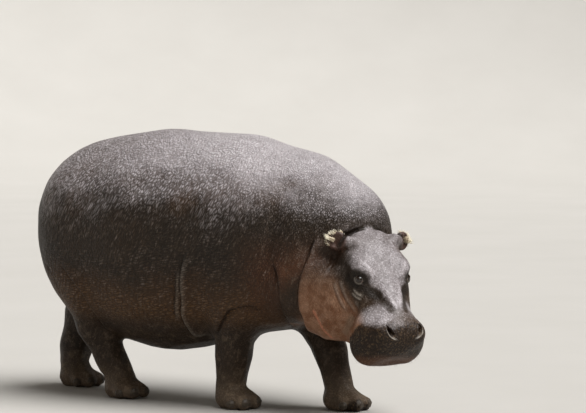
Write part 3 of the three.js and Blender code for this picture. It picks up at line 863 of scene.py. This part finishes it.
class SkinShades(Shades):
    """Hippo skin: brown below, grey above where it faces up, as pale dust and painted sheen, with painted
    shade in its creases, and dark round the lips.
    """

    MARKS = ("bloom", "muzzle", "cheek", "throat", "crease", "rim", "scar", "ear", "legs", "dusty", "face",
             "shadow", "lip")
    # The turn in degrees by which the flanks' creases lean from straight up.
    SLANT = (0, -24, 0)

    def __init__(self):
        super().__init__("skin")
        for name in self.MARKS:
            setattr(self, name, self.number(name))
        self.broad = self.noise(140, 3)
        self.middle = self.noise(28, 4, 0.6)
        self.fine = self.noise(5, 3, 0.65)
        self.waver = self.wander(60, 1.1)
        self.streaks_and_glints = self.noise(self.CELL, 4, 0.7, self.stretched((7, 9, 34), self.SLANT, self.waver))
        self.level = self.sum(self.add("SeparateXYZ", {0: self.place}, 2), self.product(self.broad, 0.25))
        self.forward = self.rise(self.add("SeparateXYZ", {0: self.place}, 0), 0.1, 0.36)
        self.upper = self.rise(self.sum(self.face, self.bloom, self.product(self.forward, 0.3)), 0.7, 1.1)
        self.grain = self.all_grain()
        self.pores = self.all_pores()

    def cells(self, lengths, turn, sharp=0.32):
        """Low at the borders of scattered cells so long in mm, and high within them."""
        place = self.stretched(lengths, turn, self.waver)
        values = {"Vector": place, "Scale": 1.0, "Randomness": 1.0}
        edge = self.add("TexVoronoi", values, "Distance", feature="DISTANCE_TO_EDGE")
        return self.rise(edge, 0.0, sharp)

    def all_grain(self):
        """Cells leaning high on the body, level low on it and finer in front, or pebbles and cheek lines."""
        leaning, level = self.cells((6.5, 8.5, 25), self.SLANT), self.cells((25, 8.5, 6.5), (0, 8, 0))
        body = self.mix(self.rise(self.level, 0.68, 0.55), leaning, level)
        body = self.mix(self.forward, body, self.cells((4.5, 6, 13), self.SLANT))
        face = self.mix(self.cheek, self.spots(5.5, 0.62, 0.1), self.cells((3.4, 3.4, 16), (0, 12, 0), 0.4))
        return self.mix(self.face, body, face)

    def all_pores(self):
        """Pits on the upper skin and the face, but not on the cheek."""
        off_cheek = self.rise(self.cheek, 0.0, 0.3, 1.0, 0.0)
        pitted = self.product(self.upper, off_cheek, self.rise(self.fine, 0.38, 0.58, 0.15, 1.0))
        return self.product(self.spots(7.0, 0.3, 0.06), pitted)

    def brown(self):
        """The skin's brown: darker along the flank, on the face and the legs, redder at the throat, with
        painted glints in pale streaks.
        """
        deep = self.product(self.rise(self.level, 0.43, 0.57), self.rise(self.level, 0.84, 0.7))
        belly = self.product(self.rise(self.level, 0.54, 0.4), self.rise(self.face, 1.0, 0.0, 0.0, 0.65))
        return self.layered(
            self.mix(self.rise(self.broad, 0.35, 0.65), (0.042, 0.019, 0.006), (0.088, 0.044, 0.016)),
            (self.product(deep, 0.8), (0.019, 0.014, 0.009)),
            (belly, (0.1, 0.05, 0.018)),
            (self.product(self.legs, 0.65), (0.016, 0.009, 0.003)),
            (self.rise(self.face, 0, 1, 0.0, 0.55), (0.02, 0.013, 0.008)),
            (self.product(self.throat, 0.8), (0.085, 0.031, 0.012)),
            # Pale streaks along the flank's creases: painted glints.
            (self.rise(self.streaks_and_glints, 0.5, 0.7, 0.0, 0.45), (0.14, 0.1, 0.07)),
        )

    def dust_and_sheen_over_brown(self):
        """The brown under pale dust and painted sheen, which the streaks and grain break up."""
        dust = self.mix(self.rise(self.middle, 0.35, 0.65), (0.295, 0.27, 0.28), (0.385, 0.358, 0.372))
        # Where the dust and sheen lie thickest, a paler painted highlight.
        dust = self.mix(self.rise(self.bloom, 0.88, 1.25), dust, (0.6, 0.565, 0.585))
        broken = self.product(self.grain, self.rise(self.upper, 0, 1, 0.24, 0.07))
        uneven = self.sum(self.product(self.middle, 0.15), self.product(self.streaks_and_glints, 0.9), broken)
        patchy = self.rise(self.sum(self.bloom, self.sum(uneven, -0.66)), 0.0, 1.0)
        return self.mix(patchy, self.brown(), dust)

    def colour(self):
        """The dusted skin under its markings, with darkened cracks and pores."""
        tan = self.mix(self.rise(self.middle, 0.3, 0.7), (0.2, 0.082, 0.036), (0.36, 0.2, 0.122))
        scuffs = self.product(self.rise(self.middle, 0.5, 0.68, 0.0, 0.24), self.legs)
        mottled = self.rise(self.noise(7, 4, 0.7), 0.47, 0.68)
        dark = self.mix(mottled, (0.013, 0.006, 0.002), (0.095, 0.06, 0.032))
        ragged = self.sum(self.muzzle, self.product(self.sum(self.noise(9, 4, 0.65), -0.5), 1.5))
        marked = self.layered(
            self.dust_and_sheen_over_brown(),
            (self.product(self.cheek, 0.85), tan),
            (self.sum(scuffs, self.product(self.dusty, 0.4)), (0.26, 0.195, 0.135)),
            (self.product(self.ear, 0.9), (0.07, 0.034, 0.024)),
            (self.rise(ragged, 0.1, 0.9, 0.0, 0.97), dark),
            (self.product(self.lip, 0.7), (0.115, 0.048, 0.022)),
            (self.product(self.shadow, 0.85), (0.011, 0.007, 0.004)),
            # Painted highlight on raised rims: the lids' margins, the nostrils' rims, the eye bags and the
            # fold edges.
            (self.product(self.rim, 0.6), (0.42, 0.38, 0.33)),
            # Painted shade in the sculpted creases.
            (self.product(self.crease, 0.9), (0.012, 0.006, 0.003)),
            (self.scar, (0.5, 0.2, 0.115)),
        )
        cracks = self.product(self.rise(self.grain, 1.0, 0.0), self.rise(self.upper, 0, 1, 0.72, 0.45))
        marked = self.mix(cracks, marked, (0.26, 0.22, 0.19), "MULTIPLY")
        return self.mix(self.pores, marked, (0.3, 0.26, 0.24), "MULTIPLY")

    def relief(self):
        """All the bumps. The grain and the ripples are weaker on the face."""
        ripples = self.noise(self.CELL, 3, 0.6, self.stretched((9, 14, 30), self.SLANT))
        relief = None
        for height, depth in (
            (self.product(self.grain, self.rise(self.face, 0, 1, 1.0, 0.35)), 2.0),
            (self.pores, -0.9),
            (self.product(ripples, self.rise(self.face, 0, 1, 1.0, 0.15)), 7.0),
            (self.middle, 2.5),
            (self.fine, 1.2),
        ):
            relief = self.bump(height, depth, relief)
        return relief

    def made(self):
        dull = self.rise(self.bloom, 0.5, 0.0, 0.0, 0.16)
        rough = self.sum(self.rise(self.fine, 0.3, 0.7, 0.34, 0.5), dull)
        return self.finish(Base_Color=self.colour(), Roughness=rough, Normal=self.relief(),
                           Specular_IOR_Level=0.19, Coat_Weight=0.05, Coat_Roughness=0.25)


def eye_material():
    """A dark brown iris with a level slit, pale wet white round it, under a clear gloss."""
    shades = Shades("eye")
    ring, slit = shades.number("ring"), shades.number("slit")
    iris = shades.mix(shades.noise(1.2, 3), (0.007, 0.004, 0.002), (0.022, 0.011, 0.006))
    white = shades.mix(shades.noise(4, 3), (0.12, 0.075, 0.055), (0.24, 0.17, 0.14))
    colour = shades.layered(
        iris,
        (shades.rise(ring, 0.66, 0.8), (0.004, 0.003, 0.002)),
        (shades.rise(ring, 0.84, 0.94), white),
        (shades.rise(slit, 1.1, 0.85), (0.001, 0.001, 0.001)),
    )
    relief = shades.bump(shades.noise(3, 2), 0.05)
    return shades.finish(Base_Color=colour, Roughness=0.12, Normal=relief, Specular_IOR_Level=0.25,
                         Coat_Weight=0.5, Coat_Roughness=0.05)


def nail_material():
    """Dull brown-grey horn in blotches, with fine upright ribs."""
    shades = Shades("nail")
    ribs = shades.noise(shades.CELL, 3, 0.6, shades.stretched((1.3, 1.3, 12)))
    blotches = shades.noise(7, 3)
    colour = shades.mix(shades.rise(ribs, 0.3, 0.7), (0.03, 0.022, 0.015), (0.08, 0.062, 0.045))
    colour = shades.mix(shades.rise(blotches, 0.45, 0.7, 0, 0.6), colour, (0.035, 0.027, 0.02))
    return shades.finish(Base_Color=colour, Roughness=shades.rise(blotches, 0.3, 0.7, 0.35, 0.6),
                         Normal=shades.bump(ribs, 0.4), Specular_IOR_Level=0.25)


def bristle_material(name, root, tip):
    """Stiff hair whose colour runs from its root to its tip."""
    shades = Shades(name)
    varied = shades.mix(shades.noise(9, 2), tip, [0.6 * part for part in tip])
    colour = shades.mix(shades.rise(shades.number("tip"), 0.0, 0.8), root, varied)
    return shades.finish(Base_Color=colour, Roughness=0.45)


# ---- eyes and nails


def make_eye(side):
    """An eyeball with a bulging cornea. It looks a little below the middle of the opening."""
    eye = Eye(side)
    whole = bmesh.new()
    bmesh.ops.create_icosphere(whole, subdivisions=5, radius=1)
    mesh = mesh_of(whole, f"eyeball_{side}")
    out = points_of(mesh)
    out /= lengths_of(out)[:, None]
    gaze = unit(np.array((0.0, -0.2, 1.0)))
    ring = np.arccos(np.clip(out @ gaze, -1, 1))
    cornea = 1 + 0.055 * rise(0.72, 0.25, ring)
    place_points(mesh, eye.world(out * (0.97 * eye.radius * cornea)[:, None]))
    slit = np.sqrt((out[:, 0] / 0.3) ** 2 + ((out[:, 1] + 0.2) / 0.15) ** 2)
    attribute(mesh, "ring", ring)
    attribute(mesh, "slit", np.where(out[:, 2] > 0, slit, 9))
    mesh.shade_smooth()
    mesh.materials.append(eye_material())
    made = new_object(f"eyeball_{side}", mesh)
    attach(made, "root")
    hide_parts(f"eye_{side}")


def make_nails():
    """The nails, each rounded from its CAD node and ribbed lengthways."""
    nodes = sorted(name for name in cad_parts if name.startswith("nail_"))
    nails = remeshed(joined_nodes("nails", nodes, 1.0 * MM), 1.6 * MM)
    smoothed(nails, rounds=5)
    mesh = nails.data
    points = points_of(mesh)
    ribs = 0.35 * MM * value_noise(points * np.array((1, 1, 0.15)), 3 * MM, seed=5)
    place_points(mesh, points + ribs[:, None] * normals_of(mesh))
    mesh.shade_smooth()
    mesh.materials.append(nail_material())
    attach(nails, "root")
    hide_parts(*nodes)


# ---- bristles


class Bristles:
    """Thin bent spikes, gathered into one closed mesh each piece, with a map named OFBake."""

    # A spike has a ring of three points at each of these shares of its length, and a last one at its tip.
    RINGS = (0.0, 0.35, 0.7)
    ROUND = 3
    EACH = ROUND * len(RINGS) + 1

    def __init__(self, name, seed, thick, material):
        self.name, self.thick, self.material = name, thick, material
        self.draw = np.random.default_rng(seed)
        self.points, self.faces, self.places, self.tips = [], [], [], []

    def add(self, root, along, bend, length, thick=1.0):
        """One spike from its root, along a direction, bent towards another by its tip."""
        along = unit(along)
        side = unit(np.cross(along, (0.31, 0.22, 0.93)))
        other = np.cross(along, side)
        first = len(self.points)
        for share in self.RINGS:
            middle = root + length * (share * along + share**2 * bend)
            radius = self.thick * thick * (1 - 0.75 * share)
            for corner in range(self.ROUND):
                turn = 2 * math.pi * corner / self.ROUND
                self.points.append(middle + radius * (math.cos(turn) * side + math.sin(turn) * other))
            self.tips += [share] * self.ROUND
        self.points.append(root + length * (along + bend))
        self.tips.append(1.0)
        self.close(first)
        self.places += [self.unwrapped(root)] * self.EACH

    def close(self, first):
        """The faces of a spike whose points start at this number."""
        for ring in range(len(self.RINGS) - 1):
            for corner in range(self.ROUND):
                a, b = (first + self.ROUND * ring + turned % self.ROUND for turned in (corner, corner + 1))
                self.faces.append((a, b, b + self.ROUND, a + self.ROUND))
        last = first + self.ROUND * (len(self.RINGS) - 1)
        self.faces += [(last, last + 1, last + 3), (last + 1, last + 2, last + 3), (last + 2, last, last + 3)]
        self.faces.append((first + 2, first + 1, first))

    def scatter(self, mesh, chosen, count):
        """Roots near chosen vertices, spread at random, each with its normal."""
        picks = self.draw.choice(np.nonzero(chosen)[0], min(count, int(chosen.sum())), replace=False)
        spread = self.draw.normal(0, 0.4 * MM, (len(picks), 3))
        return zip(points_of(mesh)[picks] + spread, normals_of(mesh)[picks])

    def unwrapped(self, root):
        """The root's place on the skin unrolled round the body's long axis."""
        low, high = cad_box
        middle = (np.array(low) + np.array(high)) / 2
        turn = math.atan2(root[2] - middle[2], root[1] - middle[1])
        return 0.5 + turn / (2 * math.pi), (root[0] - low[0]) / (high[0] - low[0])

    def finish(self):
        mesh = bpy.data.meshes.new(self.name)
        mesh.from_pydata([tuple(point) for point in self.points], [], self.faces)
        corners = np.empty(len(mesh.loops), int)
        mesh.loops.foreach_get("vertex_index", corners)
        turn = 2 * math.pi * (corners % self.EACH % self.ROUND) / self.ROUND
        patch = np.stack([np.cos(turn), np.array(self.tips)[corners] * 2 - 1], axis=1) * PATCH / 2
        spots = np.array(self.places)[corners] * (1 - PATCH) + PATCH / 2 + patch
        mesh.uv_layers.new(name="OFBake").data.foreach_set("uv", spots.ravel())
        attribute(mesh, "tip", self.tips)
        mesh.shade_smooth()
        mesh.materials.append(self.material)
        made = new_object(self.name, mesh)
        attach(made, "root")


EAR_LOCKS, LOCK_HAIRS = 12, 36


def grow_lock(fringe, root, reach, length, back):
    """A pointed lock of hair whose roots are spread a little and whose tips meet."""
    draw = fringe.draw
    tip = root + length * reach
    for _ in range(LOCK_HAIRS):
        start = root + draw.normal(0, 2.4 * MM, 3)
        to_tip = (tip - start + draw.normal(0, 1.2 * MM, 3)) / length
        bend = 0.1 * (back - to_tip)
        fringe.add(start, to_tip, bend, length * draw.uniform(0.8, 1.0), draw.uniform(0.7, 1.2))


def fringe_ear(fringe, mesh, side):
    """Short hair all round an ear's back rim, and then its locks."""
    draw, points = fringe.draw, points_of(mesh)
    low, high = corners_of(f"ear_{side}")
    middle = (low + high) / 2
    out = unit(middle - head.world((52 * MM, SIDES[side] * 74 * MM, -40 * MM)))
    back = square(head.turn((-1, 0, -0.45)), out)
    facing = head.turn((0.64, SIDES[side] * 0.3, 0.7))
    offset = points - middle
    near = lengths_of(offset) < 36 * MM
    rim = near & (offset @ out > -6 * MM) & ((offset @ back > 8 * MM) | (offset @ out > 18 * MM))
    rim &= np.abs(normals_of(mesh) @ np.cross(out, back)) < 0.8
    for at, normal in fringe.scatter(mesh, rim, count=200):
        fan = 0.55 * out + 0.5 * back + 0.75 * normal + draw.normal(0, 0.16, 3)
        length = draw.uniform(6, 13) * MM
        fringe.add(at - 0.5 * MM * normal, fan, 0.18 * back, length, draw.uniform(0.6, 1.1))
    for turn in np.radians(np.linspace(10, 140, EAR_LOCKS)):
        reach = math.cos(turn) * back + math.sin(turn) * out
        edge = points[near][np.argmax(offset[near] @ reach)]
        length = draw.uniform(29, 37) * MM
        grow_lock(fringe, edge - 16 * MM * reach + 4.5 * MM * facing, reach, length, back)


def make_ear_fringes(mesh):
    """Pale stiff hair in pointed locks that fan off the back rim of each ear, with short hair round them."""
    hair = bristle_material("ear_hair", (0.5, 0.41, 0.29), (0.9, 0.83, 0.66))
    fringe = Bristles("ear_fringe", seed=21, thick=1.0 * MM, material=hair)
    for side in SIDES:
        fringe_ear(fringe, mesh, side)
    fringe.finish()


def make_whiskers(mesh):
    """Short stiff bristles scattered on the lips and chin."""
    hair = bristle_material("lip_hair", (0.02, 0.015, 0.012), (0.34, 0.28, 0.2))
    whiskers = Bristles("lip_bristles", seed=22, thick=0.35 * MM, material=hair)
    draw = whiskers.draw
    ahead, _, off = head.local(points_of(mesh)).T / MM
    lips = (ahead > 262) & (off < -95) & (off > -250)
    for at, normal in whiskers.scatter(mesh, lips, count=150):
        droop = np.array((0, 0, -0.5)) + draw.normal(0, 0.2, 3)
        whiskers.add(at - 0.4 * MM * normal, normal + 0.4 * droop, 0.35 * droop, draw.uniform(3, 8) * MM)
    whiskers.finish()


def make_tail_tuft(mesh):
    """Coarse dark hair along both edges of the tail's end."""
    hair = bristle_material("tail_hair", (0.02, 0.015, 0.012), (0.07, 0.055, 0.042))
    tuft = Bristles("tail_tuft", seed=23, thick=0.5 * MM, material=hair)
    draw = tuft.draw
    low, high = corners_of("tail")
    x, y, z = points_of(mesh).T
    end = (z < low[2] + 55 * MM) & (x < low[0] + 26 * MM) & (z > low[2] - 4 * MM)
    end &= np.abs(y) < high[1] + 2 * MM
    down = np.array((0.0, 0.0, -1.0))
    for at, normal in tuft.scatter(mesh, end, count=380):
        edge = np.array((0.0, np.sign(at[1]), 0.0)) * 0.5
        lie = down + edge + 0.3 * normal + draw.normal(0, 0.12, 3)
        tuft.add(at - 0.5 * MM * normal, lie, 0.4 * down, draw.uniform(14, 30) * MM, draw.uniform(0.7, 1.1))
    tuft.finish()


# ---- studio


def aim(made, at, target):
    made.location = at
    made.rotation_euler = (Vector(target) - Vector(at)).to_track_quat("-Z", "Y").to_euler()


def make_camera():
    """The photograph's view: from ahead of the right side and a little above the back."""
    middle = Vector((-0.1196, 0, 0.42))
    azimuth, elevation, distance = math.radians(38), math.radians(4.4), 9.0
    level = math.cos(elevation)
    back = Vector((math.sin(azimuth) * level, -math.cos(azimuth) * level, math.sin(elevation)))
    data = bpy.data.cameras.new("camera")
    data.sensor_width, data.lens = 36, 183.6
    camera = bpy.data.objects.new("camera", data)
    bpy.context.scene.collection.objects.link(camera)
    aim(camera, middle + back * distance, (0.0906, 0.1806, 0.5855))
    bpy.context.scene.camera = camera
    bpy.context.scene.view_settings.view_transform = "Standard"


def add_light(name, kind, at, target, power, colour=(1, 1, 1), **shape):
    data = bpy.data.lights.new(name, kind)
    data.energy, data.color = power, colour
    for key, value in shape.items():
        setattr(data, key, value)
    light = bpy.data.objects.new(name, data)
    bpy.context.scene.collection.objects.link(light)
    aim(light, at, target)


def make_floor():
    """A pale floor that sweeps up far away all round."""
    flat, bend, top = 12.0, 5.0, 9.0
    profile = [(4.0, 0.0), (flat, 0.0)]
    turns = np.linspace(0.15, math.pi / 2, 10)
    profile += [(flat + bend * math.sin(turn), bend - bend * math.cos(turn)) for turn in turns]
    profile.append((flat + bend, top))
    around = 96
    whole = bmesh.new()
    rings = [[whole.verts.new((0, 0, 0))] * around]
    turns = [2 * math.pi * step / around for step in range(around)]
    for radius, height in profile:
        rings.append([whole.verts.new((radius * math.cos(t), radius * math.sin(t), height)) for t in turns])
    for inner, outer in zip(rings, rings[1:]):
        for step in range(around):
            after = (step + 1) % around
            # The innermost faces are triangles, so the corner that comes twice is dropped.
            corners = (inner[step], outer[step], outer[after], inner[after])
            whole.faces.new(list(dict.fromkeys(corners)))
    mesh = mesh_of(whole, "floor")
    mesh.shade_smooth()
    floor = new_object("floor", mesh)
    shades = Shades("floor")
    colour = shades.mix(shades.noise(600, 3), (0.36, 0.345, 0.32), (0.4, 0.385, 0.36))
    mesh.materials.append(shades.finish(Base_Color=colour, Roughness=0.85))


def make_lights():
    """A weak warm sky, a broad soft light overhead and a weak one in front."""
    world = bpy.data.worlds.new("studio")
    world.use_nodes = True
    sky = world.node_tree.nodes["Background"].inputs
    sky["Color"].default_value = (1.0, 0.93, 0.85, 1)
    sky["Strength"].default_value = 0.16
    bpy.context.scene.world = world
    add_light("overhead", "SUN", (2.8, 0.1, 5.0), (0, 0, 0.4), 6.2, angle=math.radians(50))
    add_light("front", "AREA", (3.6, -4.2, 2.2), (0.2, 0, 0.4), 22, (1, 0.92, 0.82), shape="DISK", size=2.2)


# ---- the model


def make_skin():
    skin = rough_skin()
    fill_neck(skin)
    sculpt_folds(skin)
    sculpt_face(skin)
    triangles = sum(len(face.vertices) - 2 for face in skin.data.polygons)
    modified(skin, "DECIMATE", ratio=SKIN_TRIANGLES / triangles, use_collapse_triangulate=True)
    mesh = skin.data
    mesh.shade_smooth()
    mark_skin(mesh)
    mesh.materials.append(SkinShades().made())
    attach(skin, "root")
    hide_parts(*BODY_NODES, *HEAD_NODES)
    return skin


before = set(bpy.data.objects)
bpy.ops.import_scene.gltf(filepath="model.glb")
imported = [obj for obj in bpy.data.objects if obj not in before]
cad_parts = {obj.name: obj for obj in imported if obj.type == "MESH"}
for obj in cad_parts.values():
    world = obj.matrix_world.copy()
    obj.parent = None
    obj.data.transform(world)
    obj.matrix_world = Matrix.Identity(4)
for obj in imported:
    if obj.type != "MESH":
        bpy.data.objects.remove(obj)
cad_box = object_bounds()
head = head_axes()

make_camera()
make_floor()
make_lights()
skin = make_skin()
for side in SIDES:
    make_eye(side)
make_nails()
make_ear_fringes(skin.data)
make_whiskers(skin.data)
make_tail_tuft(skin.data)
